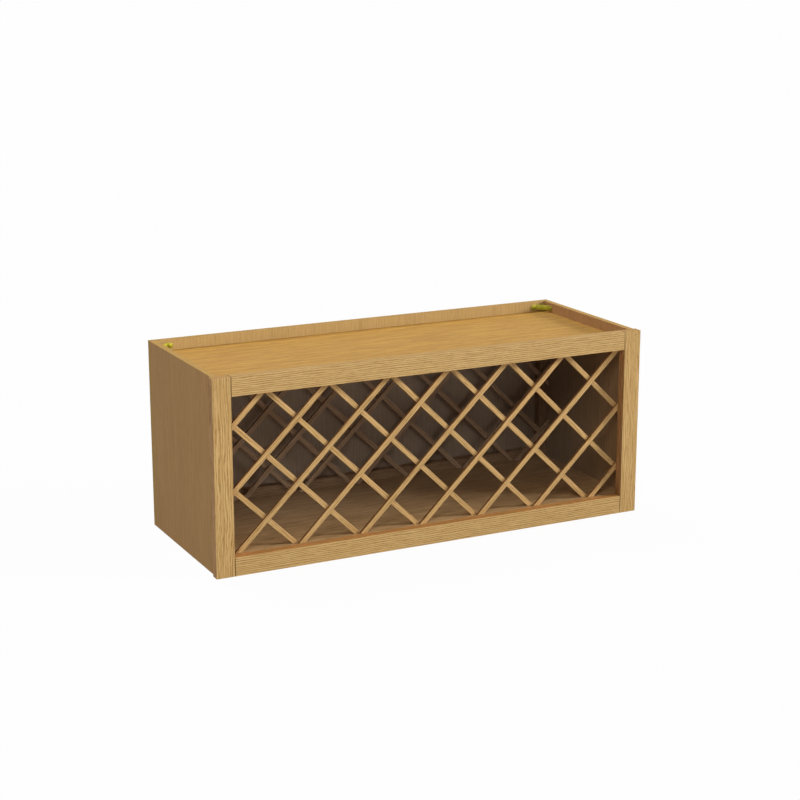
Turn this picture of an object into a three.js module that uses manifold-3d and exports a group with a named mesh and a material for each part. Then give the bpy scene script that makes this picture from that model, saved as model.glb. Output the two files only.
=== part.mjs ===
// Wine cabinet: an open-fronted oak box whose bottles lie in the diamonds of two diagonal lattices.
//
// A face frame of two stiles and two rails covers the front edges of a plywood case. One lattice is
// fixed to the back of the frame. A second one, of the same pattern, stands near the back panel on
// four cleats, so that each bottle is carried at its neck and at its base. The top panel is sunk
// below the upper edges, and two bent metal braces square the rear corners above it.
//
// Millimetres, +Z up, front towards -Y. The origin is the middle of the footprint at the lower edge.

import * as THREE from "three";
import { mergeVertices } from "three/addons/utils/BufferGeometryUtils.js";
import Module from "manifold-3d";

const wasm = await Module();
wasm.setup();

// Overall size
const overall_width = 914.4;
const overall_depth = 356;
const overall_height = 378;

// Face frame
const stile_width = 37;
const rail_height = 37;
const frame_thickness = 19;
const frame_overhang = 4.5;
const tenon_length = 20;
const tenon_thickness = 6.5;
const tenon_shoulder = 6;
const housing_depth = 4;

// Case
const side_thickness = 12.75;
const panel_thickness = 16;
const back_thickness = 12.75;
const dado_depth = 4.5;

// Lattices, each of two layers of slats that cross
const slat_width = 10;
const slat_thickness = 5.5;
const lattice_columns = 6.5;
const lattice_rows = 2.5;
const lattice_inset = 9.4;
const lattice_drop = 4.6;
const lattice_lift = 2.4;
const shortest_slat = 75;
const cleat_size = 19;

// Corner braces above the top panel, bent from flat strip
const brace_reach = 20;
const brace_flange = 13;
const brace_thickness = 1.6;
const brace_height = 11;
const brace_lift = 3.5;

// Screws that hold the braces
const screw_radius = 1.5;
const screw_length = 10;
const screw_head_radius = 3;
const screw_head_height = 1.6;
const screw_point_length = 3;
const screw_sides = 16;

// Clearances
const fit_gap = 0.3;
const cut_overrun = 5;

// Planes that the pieces share
const half_width = overall_width / 2;
const front_y = -overall_depth / 2;
const frame_back_y = front_y + frame_thickness;
const back_y = overall_depth / 2;
const back_inner_y = back_y - back_thickness;
const side_outer_x = half_width - frame_overhang;
const side_inner_x = side_outer_x - side_thickness;
const stile_inner_x = half_width - stile_width;
const floor_z = rail_height;
const ceiling_z = overall_height - rail_height;
const top_z = ceiling_z + panel_thickness;

const finishes = {
  solid_oak: { color: 0xb99664, roughness: 0.55, metalness: 0 },
  oak_plywood: { color: 0xc19857, roughness: 0.6, metalness: 0 },
  oak_slat: { color: 0xc8a46c, roughness: 0.6, metalness: 0 },
  yellow_zinc: { color: 0xc8b85a, roughness: 0.35, metalness: 1 },
};

// Pieces with a finish of their own
function piece(name, finish, geometry) {
  const mesh = new THREE.Mesh(geometry, new THREE.MeshStandardMaterial(finishes[finish]));
  mesh.name = name;
  return mesh;
}

// A box between two opposite corners, whose faces lie exactly on the planes given
function block(low, high) {
  const geometry = new THREE.BoxGeometry();
  const points = geometry.attributes.position;
  for (let i = 0; i < points.count; i++) {
    points.setXYZ(
      i,
      points.getX(i) < 0 ? low[0] : high[0],
      points.getY(i) < 0 ? low[1] : high[1],
      points.getZ(i) < 0 ? low[2] : high[2],
    );
  }
  return geometry;
}

// Joining and cutting
function solid_of(geometry) {
  const bare = geometry.clone();
  bare.deleteAttribute("normal");
  bare.deleteAttribute("uv");
  const merged = mergeVertices(bare);
  return new wasm.Manifold(new wasm.Mesh({
    numProp: 3,
    vertProperties: new Float32Array(merged.attributes.position.array),
    triVerts: new Uint32Array(merged.index.array),
  }));
}

function geometry_of(solid) {
  const { vertProperties, triVerts } = solid.getMesh();
  const geometry = new THREE.BufferGeometry();
  geometry.setAttribute("position", new THREE.BufferAttribute(vertProperties, 3));
  geometry.setIndex(new THREE.BufferAttribute(triVerts, 1));
  geometry.computeVertexNormals();
  return geometry;
}

function joined(geometry, ...others) {
  return geometry_of(others.reduce((solid, other) => solid.add(solid_of(other)), solid_of(geometry)));
}

function cut(geometry, ...cutters) {
  return geometry_of(cutters.reduce((solid, cutter) => solid.subtract(solid_of(cutter)), solid_of(geometry)));
}

// Boxes given by their right-hand shape are mirrored to the left by a side of -1
function sided_block(side, low, high) {
  const ends = [side * low[0], side * high[0]];
  return block(
    [Math.min(...ends), low[1], low[2]],
    [Math.max(...ends), high[1], high[2]],
  );
}

// Face frame: stub tenons on the rails, blind mortises and a housing for the side in each stile
const tenon_front_y = front_y + (frame_thickness - tenon_thickness) / 2;
const tenon_back_y = tenon_front_y + tenon_thickness;
const rail_floors = { bottom: 0, top: overall_height - rail_height };

function rail(name) {
  const low_z = rail_floors[name];
  const board = block(
    [-stile_inner_x, front_y, low_z],
    [stile_inner_x, frame_back_y, low_z + rail_height],
  );
  const tenon_end_x = stile_inner_x + tenon_length;
  const tenons = block(
    [-tenon_end_x, tenon_front_y, low_z + tenon_shoulder],
    [tenon_end_x, tenon_back_y, low_z + rail_height - tenon_shoulder],
  );
  return piece(`rail_${name}`, "solid_oak", joined(board, tenons));
}

function stile(name, side) {
  const board = sided_block(
    side,
    [stile_inner_x, front_y, 0],
    [half_width, frame_back_y, overall_height],
  );
  const mortises = Object.values(rail_floors).map((low_z) => sided_block(
    side,
    [stile_inner_x - cut_overrun, tenon_front_y - fit_gap, low_z + tenon_shoulder - fit_gap],
    [
      stile_inner_x + tenon_length + fit_gap,
      tenon_back_y + fit_gap,
      low_z + rail_height - tenon_shoulder + fit_gap,
    ],
  ));
  const housing = sided_block(
    side,
    [side_inner_x, frame_back_y - housing_depth, -cut_overrun],
    [side_outer_x, frame_back_y + cut_overrun, overall_height + cut_overrun],
  );
  return piece(`stile_${name}`, "solid_oak", cut(board, ...mortises, housing));
}

// Corner braces and their screws, measured from the inner corner above the top panel
const brace_low_z = top_z + brace_lift;
const brace_middle_z = brace_low_z + brace_height / 2;
const screw_offset = brace_reach + brace_flange / 2;
const screw_seat = fit_gap + brace_thickness;
const hole_radius = screw_radius + fit_gap;
const hole_depth = screw_length - screw_seat + 2 * fit_gap;

function corner_point(side, from_side, from_back) {
  return new THREE.Vector2(side * (side_inner_x - from_side), back_inner_y - from_back);
}

// A round cutter along X or Y through the brace and into the panel behind it
function pilot_hole(side, into) {
  const length = screw_seat + cut_overrun + hole_depth;
  const cutter = new THREE.CylinderGeometry(hole_radius, hole_radius, length, screw_sides);
  const middle = screw_seat + cut_overrun - length / 2;
  if (into === "side") {
    cutter.rotateZ(Math.PI / 2);
    const place = corner_point(side, middle, screw_offset);
    cutter.translate(place.x, place.y, brace_middle_z);
  } else {
    const place = corner_point(side, screw_offset, middle);
    cutter.translate(place.x, place.y, brace_middle_z);
  }
  return cutter;
}

function brace(name, side) {
  const far = brace_reach + brace_flange;
  const face = fit_gap + brace_thickness;
  const bend = brace_reach + (Math.SQRT2 - 1) * brace_thickness;
  const outline = [
    [fit_gap, far], [fit_gap, brace_reach], [brace_reach, fit_gap], [far, fit_gap],
    [far, face], [bend, face], [face, bend], [face, far],
  ].map(([from_side, from_back]) => corner_point(side, from_side, from_back));
  const strip = new THREE.ExtrudeGeometry(new THREE.Shape(outline), {
    depth: brace_height,
    bevelEnabled: false,
  });
  strip.translate(0, 0, brace_low_z);
  const holes = [pilot_hole(side, "side"), pilot_hole(side, "back")];
  return piece(`brace_${name}`, "yellow_zinc", cut(strip, ...holes));
}

// A pan-head screw along +Y, seated with the underside of its head at zero
function screw_geometry() {
  const profile = [
    [0, screw_length],
    [screw_radius, screw_length - screw_point_length],
    [screw_radius, 0],
    [screw_head_radius, 0],
    [screw_head_radius, -screw_head_height / 2],
    [screw_head_radius / 2, -screw_head_height],
    [0, -screw_head_height],
  ].reverse().map(([radius, along]) => new THREE.Vector2(radius, along));
  return new THREE.LatheGeometry(profile, screw_sides);
}

function screw(name, side, into) {
  const mesh = piece(name, "yellow_zinc", screw_geometry());
  const seat = screw_seat + fit_gap;
  const place = into === "side"
    ? corner_point(side, seat, screw_offset)
    : corner_point(side, screw_offset, seat);
  mesh.position.set(place.x, place.y, brace_middle_z);
  if (into === "side") {
    mesh.rotation.z = -side * Math.PI / 2;
  }
  return mesh;
}

// Case: the top and bottom panels run in dados of the sides, and the back covers them all
const panel_end_x = side_inner_x + dado_depth - fit_gap;
const panel_floors = { bottom: floor_z - panel_thickness, top: ceiling_z };

function case_panel(name) {
  const low_z = panel_floors[name];
  return piece(`panel_${name}`, "oak_plywood", block(
    [-panel_end_x, frame_back_y, low_z],
    [panel_end_x, back_inner_y, low_z + panel_thickness],
  ));
}

function side_panel(name, side) {
  const board = sided_block(
    side,
    [side_inner_x, frame_back_y - housing_depth, 0],
    [side_outer_x, back_inner_y, overall_height],
  );
  const dados = Object.values(panel_floors).map((low_z) => sided_block(
    side,
    [side_inner_x - cut_overrun, frame_back_y, low_z],
    [side_inner_x + dado_depth, back_inner_y + cut_overrun, low_z + panel_thickness],
  ));
  return piece(`side_${name}`, "oak_plywood", cut(board, ...dados, pilot_hole(side, "side")));
}

function back_panel() {
  const board = block([-side_outer_x, back_inner_y, 0], [side_outer_x, back_y, overall_height]);
  return piece("back", "oak_plywood", cut(board, pilot_hole(-1, "back"), pilot_hole(1, "back")));
}

// Cleats that carry the rear lattice in front of the back panel
function cleats() {
  const front = back_inner_y - cleat_size;
  const lower = floor_z + cleat_size;
  const upper = ceiling_z - cleat_size;
  const inner = side_inner_x - cleat_size;
  const corners = {
    bottom: [[-side_inner_x, front, floor_z], [side_inner_x, back_inner_y, lower]],
    top: [[-side_inner_x, front, upper], [side_inner_x, back_inner_y, ceiling_z]],
    left: [[-side_inner_x, front, lower], [-inner, back_inner_y, upper]],
    right: [[inner, front, lower], [side_inner_x, back_inner_y, upper]],
  };
  return Object.entries(corners).map(([name, [low, high]]) => (
    piece(`cleat_${name}`, "oak_slat", block(low, high))
  ));
}

// Lattices: straight slats on a grid of diamonds, each trimmed to the case
const lattice_low = new THREE.Vector2(fit_gap - side_inner_x, floor_z + fit_gap);
const lattice_high = new THREE.Vector2(side_inner_x - fit_gap, ceiling_z - fit_gap);
const lattice_origin_x = lattice_inset - stile_inner_x;
const lattice_origin_z = floor_z - lattice_drop;
const lattice_pitch_x = (stile_inner_x - lattice_origin_x) / lattice_columns;
const lattice_pitch_z = (ceiling_z + lattice_lift - lattice_origin_z) / lattice_rows;
const lattice_depth = 2 * slat_thickness;

// The part of a convex outline on one side of a line across X or Z
function trimmed(outline, axis, limit, sign) {
  const kept = [];
  outline.forEach((point, i) => {
    const next = outline[(i + 1) % outline.length];
    const here = sign * (point[axis] - limit);
    const there = sign * (next[axis] - limit);
    if (here >= 0) {
      kept.push(point);
    }
    if (here * there < 0) {
      const crossing = point.clone().lerp(next, here / (here - there));
      crossing[axis] = limit;
      kept.push(crossing);
    }
  });
  return kept;
}

// A slat's outline in X and Z, where lean is 1 for one that rises to the right and -1 for the other
function slat_outline(column, lean) {
  const along = new THREE.Vector2(lean * lattice_pitch_x, lattice_pitch_z).normalize();
  const across = new THREE.Vector2(along.y, -along.x).multiplyScalar(slat_width / 2);
  const foot = new THREE.Vector2(lattice_origin_x + column * lattice_pitch_x, lattice_origin_z);
  const reach = overall_width + overall_height;
  const low_end = foot.clone().addScaledVector(along, -reach);
  const high_end = foot.clone().addScaledVector(along, reach);
  let outline = [
    low_end.clone().sub(across), low_end.clone().add(across),
    high_end.clone().add(across), high_end.clone().sub(across),
  ];
  for (const axis of ["x", "y"]) {
    outline = trimmed(outline, axis, lattice_low[axis], 1);
    outline = trimmed(outline, axis, lattice_high[axis], -1);
  }
  const places = outline.map((point) => point.dot(along));
  const length = Math.max(...places) - Math.min(...places);
  return length < shortest_slat ? null : outline;
}

// All the slats of one layer, from left to right
function slat_layer(lattice_name, lean_name, lean, layer_y) {
  const outlines = [];
  const last_column = Math.ceil(lattice_columns + lattice_rows);
  for (let column = -Math.ceil(lattice_rows); column <= last_column; column++) {
    const outline = slat_outline(column, lean);
    if (outline) {
      outlines.push(outline);
    }
  }
  return outlines.map((outline, i) => {
    const geometry = new THREE.ExtrudeGeometry(new THREE.Shape(outline), {
      depth: slat_thickness,
      bevelEnabled: false,
    });
    geometry.translate(0, 0, -layer_y - slat_thickness);
    geometry.rotateX(Math.PI / 2);
    return piece(`${lattice_name}_slat_${lean_name}_${i + 1}`, "oak_slat", geometry);
  });
}

function lattice(name, front_face_y) {
  const group = new THREE.Group();
  group.add(...slat_layer(name, "rising", 1, 0));
  group.add(...slat_layer(name, "falling", -1, slat_thickness));
  group.position.y = front_face_y;
  return group;
}

const sides = { left: -1, right: 1 };
const cabinet = new THREE.Group();
cabinet.add(rail("bottom"), rail("top"), case_panel("bottom"), case_panel("top"), back_panel());
for (const [name, side] of Object.entries(sides)) {
  cabinet.add(stile(name, side), side_panel(name, side), brace(name, side));
  cabinet.add(screw(`brace_screw_${name}_side`, side, "side"));
  cabinet.add(screw(`brace_screw_${name}_back`, side, "back"));
}
cabinet.add(...cleats());
cabinet.add(lattice("front", frame_back_y));
cabinet.add(lattice("rear", back_inner_y - cleat_size - lattice_depth));

export default cabinet;
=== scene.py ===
# %% [markdown]
# # An oak wine cabinet
# A small wall cabinet of golden oak: a frame of four boards in front, a plywood case behind it and
# two lattices of diagonal slats that carry the bottles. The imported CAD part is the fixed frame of
# this lesson. It says where each board is, and everything below is dressed around it in metres.

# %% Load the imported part
import math
import random

import bmesh
import bpy
from mathutils import Euler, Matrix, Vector


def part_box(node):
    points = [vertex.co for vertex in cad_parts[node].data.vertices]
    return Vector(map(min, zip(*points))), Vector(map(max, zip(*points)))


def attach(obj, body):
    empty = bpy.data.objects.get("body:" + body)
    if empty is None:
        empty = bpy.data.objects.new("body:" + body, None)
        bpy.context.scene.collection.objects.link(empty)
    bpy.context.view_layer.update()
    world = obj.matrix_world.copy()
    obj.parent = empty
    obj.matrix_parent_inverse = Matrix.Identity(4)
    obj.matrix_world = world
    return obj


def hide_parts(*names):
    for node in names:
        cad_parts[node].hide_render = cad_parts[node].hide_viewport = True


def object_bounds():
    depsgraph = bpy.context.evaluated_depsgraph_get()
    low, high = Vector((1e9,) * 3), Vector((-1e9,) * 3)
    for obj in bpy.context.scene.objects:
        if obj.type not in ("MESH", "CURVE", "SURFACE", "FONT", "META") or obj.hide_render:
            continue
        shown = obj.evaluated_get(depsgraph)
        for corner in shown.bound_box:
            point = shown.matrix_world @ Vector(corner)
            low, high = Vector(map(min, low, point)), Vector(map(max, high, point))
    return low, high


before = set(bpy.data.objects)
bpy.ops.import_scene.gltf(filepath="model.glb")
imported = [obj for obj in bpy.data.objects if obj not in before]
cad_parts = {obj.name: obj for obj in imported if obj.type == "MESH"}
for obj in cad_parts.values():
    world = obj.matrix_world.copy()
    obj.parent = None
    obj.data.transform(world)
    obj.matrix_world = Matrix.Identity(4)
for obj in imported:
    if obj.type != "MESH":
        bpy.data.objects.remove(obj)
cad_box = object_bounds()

MM = 0.001
scene = bpy.context.scene
print("CAD nodes:", len(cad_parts))
print("CAD box:", [[round(value, 4) for value in corner] for corner in cad_box])

# %% [markdown]
# ## Helpers
# A shader or geometry tree is easier to read when each node is one call. The first function adds a
# node, sets its properties, and fills or links its inputs. Colours are written as sRGB hex values,
# as a paint chart gives them, and the second makes them linear by the curve of the sRGB standard.

# %% Nodes, colours, empty trees and objects
def add_node(tree, kind, settings=None, inputs=None):
    """Adds a node. Its settings may be just its operation. An input takes a plain value, a node or
    its output, or a list of these."""
    node = tree.nodes.new(kind)
    if isinstance(settings, str):
        settings = {"operation": settings}
    for key, value in (settings or {}).items():
        setattr(node, key, value)
    for key, value in (inputs or {}).items():
        for item in value if isinstance(value, list) else [value]:
            if isinstance(item, bpy.types.Node):
                item = item.outputs[0]
            if isinstance(item, bpy.types.NodeSocket):
                tree.links.new(item, node.inputs[key])
            else:
                node.inputs[key].default_value = item
    return node


def colour(hex_value):
    """The linear colour, with alpha, of an sRGB hex value such as #c9a673."""
    parts = [int(hex_value[i:i + 2], 16) / 255 for i in (1, 3, 5)]
    linear = [p / 12.92 if p <= 0.04045 else ((p + 0.055) / 1.055) ** 2.4 for p in parts]
    return (*linear, 1.0)


def empty_tree(block):
    """The node tree of a material or world, without the nodes that Blender puts there."""
    block.use_nodes = True
    block.node_tree.nodes.clear()
    return block.node_tree


def new_object(name, data):
    """An object with this data, linked to the scene."""
    thing = bpy.data.objects.new(name, data)
    scene.collection.objects.link(thing)
    return thing


print("mid oak, linear:", [round(part, 3) for part in colour("#c9a673")])

# %% [markdown]
# ## The camera
# The photo was taken from the left of the cabinet's front, from a little above, with a longish
# lens. A camera could be placed by eye, but then no edge would fall quite where it does in the
# photo. So its place, its two angles and its lens were worked out from the cabinet's straight edges.

# %% Set up the camera
CAMERA_PLACE = (-1.5627, -3.1149, 1.1429)
CAMERA_AZIMUTH = math.radians(26.76)
CAMERA_DROP = math.radians(14.434)
LENS_IN_MM = 81.3
SENSOR_IN_MM = 36.0


def make_camera():
    data = bpy.data.cameras.new("photo_camera")
    data.lens = LENS_IN_MM
    data.sensor_width = SENSOR_IN_MM
    camera = new_object("photo_camera", data)
    camera.location = CAMERA_PLACE
    camera.rotation_euler = Euler((math.pi / 2 - CAMERA_DROP, 0, -CAMERA_AZIMUTH))
    scene.camera = camera


make_camera()
print("camera at", CAMERA_PLACE)

# %% [markdown]
# ## Lamps
# A product photo has large soft lamps. Area lamps close by would light one end of a wide object more
# than the other, so each lamp is a sun lamp with a wide disc, whose shadows are soft as well. The key
# lamp stands low and to the right: it lights the front and leaves the left side and the inside in
# shade. A very weak one almost straight in front throws the rear lattice's soft shadows on the back.
# A weak fill from the front left lifts that side, and a lamp behind and above lights the top. Angles
# are in degrees. A brightness of 1 makes a white card that faces the lamp just white.

# %% Four lamps
LAMPS = {
    "key": {"to_the_right": 64, "up": 20, "brightness": 0.95},
    "front": {"to_the_right": 12, "up": 4, "brightness": 0.08},
    "fill": {"to_the_right": -36, "up": 32, "brightness": 0.25},
    "rear": {"to_the_right": -165, "up": 60, "brightness": 0.58},
}
LAMP_DISC = math.radians(18)


def make_lamp(name, to_the_right, up, brightness):
    data = bpy.data.lights.new(name, "SUN")
    data.angle = LAMP_DISC
    data.energy = brightness * math.pi
    lamp = new_object(name, data)
    lamp.rotation_euler = Euler((math.radians(90 - up), 0, math.radians(to_the_right)))


for name, lamp in LAMPS.items():
    make_lamp(name, **lamp)
scene.view_settings.view_transform = "Standard"
print("lamps:", list(LAMPS))

# %% [markdown]
# ## World and floor
# The photo's ground is plain white. More light would make it so, but would bleach the wood as well.
# Instead, world and floor are white only to the eye: to rays from the camera, off a gloss or through
# glass. To the light itself the world is nearly dark, and the floor is pale paper that throws light
# back up. The eye still gets a small share of that paper, so the cabinet's shadow shows.

# %% The world
WORLD_STRENGTH = 0.032


def seen_by_the_eye(tree):
    """1 for rays from the camera, off a gloss or through glass, and 0 for those that carry light."""
    rays = add_node(tree, "ShaderNodeLightPath").outputs
    seen = rays["Is Camera Ray"]
    for other in (rays["Is Glossy Ray"], rays["Is Transmission Ray"]):
        seen = add_node(tree, "ShaderNodeMath", "MAXIMUM", {0: seen, 1: other})
    return seen


def make_world():
    world = bpy.data.worlds.new("studio")
    tree = empty_tree(world)
    strength = add_node(tree, "ShaderNodeMix", {"data_type": "FLOAT"}, {
        0: seen_by_the_eye(tree), 2: WORLD_STRENGTH, 3: 1.0,
    })
    glow = add_node(tree, "ShaderNodeBackground", None, {
        "Color": colour("#ffffff"),
        "Strength": strength,
    })
    add_node(tree, "ShaderNodeOutputWorld", None, {"Surface": glow})
    scene.world = world


make_world()
print("world strength:", WORLD_STRENGTH)

# %% The floor
FLOOR_SIZE = 60.0
FLOOR_GAP = 0.3 * MM
FLOOR_GLOW = 0.97
FLOOR_COLOUR = "#d2d2d2"


def floor_material():
    material = bpy.data.materials.new("studio_paper_matt_white")
    tree = empty_tree(material)
    paper = add_node(tree, "ShaderNodeBsdfDiffuse", None, {"Color": colour(FLOOR_COLOUR)})
    glow = add_node(tree, "ShaderNodeEmission", None, {"Color": colour("#ffffff")})
    share = add_node(tree, "ShaderNodeMath", "MULTIPLY", {0: seen_by_the_eye(tree), 1: FLOOR_GLOW})
    mixed = add_node(tree, "ShaderNodeMixShader", None, {0: share, 1: paper, 2: glow})
    add_node(tree, "ShaderNodeOutputMaterial", None, {"Surface": mixed})
    return material


def make_floor():
    half = FLOOR_SIZE / 2
    mesh = bpy.data.meshes.new("floor")
    corners = [(-half, -half), (half, -half), (half, half), (-half, half)]
    mesh.from_pydata([(x, y, -FLOOR_GAP) for x, y in corners], [], [(0, 1, 2, 3)])
    mesh.materials.append(floor_material())
    new_object("floor", mesh)


make_floor()
print("floor:", FLOOR_SIZE, "m wide")

# %% [markdown]
# ## Oak
# Oak is ring-porous: each year's early wood has large open pores, which show along a planed board
# as short dark dashes between paler streaks. A picture of oak would stretch and break at a board's
# edges. A solid pattern doesn't: it is computed from the board's own coordinates (along, across,
# through), which each piece carries in an attribute named grain, so it turns with the board and
# runs on over its edges. Everything in it is soft noise drawn out along the grain. The first such
# noise sways the coordinates sideways, so that the streaks wander. Its wave is given in mm, by a
# length, a width and the sideways shift.

# %% Noise along the grain
NOISE_DETAIL = 2.0
NOISE_LOW = 0.2
NOISE_HIGH = 0.8


def long_noise(tree, place, length, width, label=""):
    """Noise between about NOISE_LOW and NOISE_HIGH, in spots of this length and width in mm."""
    scaled = add_node(tree, "ShaderNodeVectorMath", "MULTIPLY", {
        0: place, 1: (1 / (length * MM), 1 / (width * MM), 1 / (width * MM)),
    })
    return add_node(tree, "ShaderNodeTexNoise", {"label": label}, {
        "Vector": scaled,
        "Scale": 1.0,
        "Detail": NOISE_DETAIL,
    }).outputs["Fac"]


def wavy_grain(tree, length, width, shift):
    """The board's coordinates, swayed gently sideways."""
    grain = add_node(tree, "ShaderNodeAttribute", {"attribute_name": "grain"}).outputs["Vector"]
    sway = add_node(tree, "ShaderNodeMapRange", None, {
        "Value": long_noise(tree, grain, length, width),
        "From Min": NOISE_LOW,
        "From Max": NOISE_HIGH,
        "To Min": -shift * MM,
        "To Max": shift * MM,
    })
    sideways = add_node(tree, "ShaderNodeCombineXYZ", None, {"Y": sway})
    return add_node(tree, "ShaderNodeVectorMath", "ADD", {0: grain, 1: sideways})


print("noise detail:", NOISE_DETAIL)

# %% [markdown]
# Growth lines are the yearly rings where the saw crossed them. A board is a small piece of a thick
# trunk, so its rings can be drawn as flat, slanting layers: a sine across the board whose crests are
# the dark early wood. A slow noise lets the lines drift to and fro. Rings are given in mm, by their
# pitch and that drift. Real ones are 1 to 3 mm apart. Here they are about 4 mm apart, and more on
# veneer, because a pixel of the photo is 2 mm wide, and finer lines would turn into a false hatch.

# %% Growth lines
DRIFT_LENGTH = 80
DRIFT_WIDTH = 8
RING_SLANT = 0.6
LINE_EDGE = -0.5


def growth_lines(tree, grain, pitch, drift):
    """1 in the middle of each dark line of early wood, and 0 half-way to the next line."""
    layers = add_node(tree, "ShaderNodeVectorMath", "DOT_PRODUCT", {
        0: grain, 1: (0.0, 1 / (pitch * MM), RING_SLANT / (pitch * MM)),
    })
    year = add_node(tree, "ShaderNodeMath", "MULTIPLY_ADD", {
        0: long_noise(tree, grain, DRIFT_LENGTH, DRIFT_WIDTH),
        1: drift / pitch,
        2: layers.outputs["Value"],
    })
    turn = add_node(tree, "ShaderNodeMath", "MULTIPLY", {0: year, 1: 2 * math.pi})
    crest = add_node(tree, "ShaderNodeMath", "SINE", {0: turn})
    return add_node(tree, "ShaderNodeMapRange", {"interpolation_type": "SMOOTHSTEP"}, {
        "Value": crest,
        "From Min": LINE_EDGE,
        "From Max": 1.0,
    })


print("growth lines drift over", DRIFT_LENGTH, "mm")

# %% [markdown]
# ## Tones and painted shade
# Inside the case the wood is painted darker and greyer, and more so further in. This is painted
# shade, for the shade deep in the case. The narrow side faces of slats and stiles, and the stiles'
# faces along the opening, are painted darker and redder, a painted shade. The rails' faces along the
# opening are painted redder, and their upper and lower faces darker and warmer: painted light and
# shade for how the light falls on them. End grain is darker still, and the plywood's edges are
# yellower. The sides' inner faces above the top panel are painted lighter, a painted light. Dimmer
# lamps would darken all the wood alike, so these tones are tints in the materials, each with a mask
# that is tied to a place or to the way a face looks.
#
# The places are boxes between corners of the CAD part, a little larger by a margin, so that the
# faces on their sides are inside them.

# %% The places that have painted shade or light
MARGIN = Vector((0.2, 0.2, 0.2)) * MM
FRAME_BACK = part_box("panel_bottom")[0].y
ROOM_LOW = Vector((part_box("cleat_bottom")[0].x, FRAME_BACK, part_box("cleat_bottom")[0].z)) - MARGIN
ROOM_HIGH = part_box("cleat_top")[1] + MARGIN
OPENING_LOW = Vector((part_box("stile_left")[1].x, cad_box[0].y, ROOM_LOW.z)) - MARGIN
OPENING_HIGH = Vector((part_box("stile_right")[0].x, FRAME_BACK, ROOM_HIGH.z)) + MARGIN
RECESS_LOW = Vector((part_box("side_left")[1].x, FRAME_BACK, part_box("panel_top")[1].z)) - MARGIN
RECESS_HIGH = Vector((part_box("side_right")[0].x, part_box("back")[0].y, cad_box[1].z)) + MARGIN
print("room inside the case, in mm:", [round(size / MM) for size in ROOM_HIGH - ROOM_LOW])


def inside_box(tree, low, high):
    """1 where a point of the object lies in the box between two corners, and 0 elsewhere."""
    place = add_node(tree, "ShaderNodeTexCoord").outputs["Object"]
    from_middle = add_node(tree, "ShaderNodeVectorMath", "SUBTRACT", {0: place, 1: (low + high) / 2})
    far = add_node(tree, "ShaderNodeVectorMath", "ABSOLUTE", {0: from_middle})
    beyond = add_node(tree, "ShaderNodeVectorMath", "SUBTRACT", {0: far, 1: (high - low) / 2})
    parts = add_node(tree, "ShaderNodeSeparateXYZ", None, {0: beyond}).outputs
    most = parts["X"]
    for other in (parts["Y"], parts["Z"]):
        most = add_node(tree, "ShaderNodeMath", "MAXIMUM", {0: most, 1: other})
    return add_node(tree, "ShaderNodeMath", "LESS_THAN", {0: most, 1: 0.0})


def round_opening(tree):
    """1 on the edges of the frame's opening."""
    return inside_box(tree, OPENING_LOW, OPENING_HIGH)


# %% [markdown]
# The painted shade inside the case follows a ramp of depth from front to back, cut off by the room's
# box. A face's direction comes from its normal. The joint of stile and rail is a hairline on the real
# frame, and the shade in its groove is painted as a dark line. It is drawn 1.8 mm wide, or it would
# vanish between the pixels.

# %% Masks for depth, direction and joints
# The depth at which the painted shade inside the case is full.
FULL_SHADE_DEPTH = 220 * MM
MOSTLY = 0.5
JOINT_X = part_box("stile_right")[0].x
JOINT_WIDTH = 1.8 * MM


def place_parts(tree):
    """The object's own X, Y and Z at each point."""
    place = add_node(tree, "ShaderNodeTexCoord").outputs["Object"]
    return add_node(tree, "ShaderNodeSeparateXYZ", None, {0: place}).outputs


def painted_shade_depth(tree, front_share):
    """Where the painted shade inside the case lies: a share at the front of the case's room, 1 deep
    inside it, and 0 on all outer faces.
    """
    depth = add_node(tree, "ShaderNodeMapRange", None, {
        "Value": place_parts(tree)["Y"],
        "From Min": FRAME_BACK,
        "From Max": FRAME_BACK + FULL_SHADE_DEPTH,
        "To Min": front_share,
    })
    return add_node(tree, "ShaderNodeMath", "MULTIPLY", {
        0: inside_box(tree, ROOM_LOW, ROOM_HIGH), 1: depth,
    })


def faces(tree, axis, test):
    """1 where a face mostly looks along an axis, or where it mostly doesn't, by the test."""
    normal = add_node(tree, "ShaderNodeNewGeometry").outputs["Normal"]
    size = add_node(tree, "ShaderNodeVectorMath", "ABSOLUTE", {0: normal})
    parts = add_node(tree, "ShaderNodeSeparateXYZ", None, {0: size}).outputs
    return add_node(tree, "ShaderNodeMath", test, {0: parts[axis], 1: MOSTLY})


def joint_shade_line(tree):
    """1 on the thin line where a stile and a rail meet, but not along the opening: the mask of the
    painted shade in the joint's groove.
    """
    from_middle = add_node(tree, "ShaderNodeMath", "ABSOLUTE", {0: place_parts(tree)["X"]})
    near = add_node(tree, "ShaderNodeMath", "COMPARE", {0: from_middle, 1: JOINT_X, 2: JOINT_WIDTH / 2})
    return add_node(tree, "ShaderNodeMath", {"operation": "SUBTRACT", "use_clamp": True}, {
        0: near, 1: round_opening(tree),
    })


print("joints at x = -/+", round(JOINT_X / MM, 1), "mm")

# %% [markdown]
# ## The oak material
# A clear satin lacquer leaves oak's pores open, so the board has a slight texture and a weak, broad
# highlight. The material starts from a base colour. Each layer then lays soft spots of another
# colour over it, on the growth lines, in the gaps between them or all over. A layer is a label, that
# place, the colour, the spots' length and width in mm, the noise values where they start and are
# full, and how far they cover. Each layer also sinks the surface a little. Then come a difference of
# tone from board to board, the size of which is given, and the tints. A tint is a mask, the mask's
# settings, and factors for red, green and blue.

# %% Tints and spots
WHITE = (1.0, 1.0, 1.0)


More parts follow.
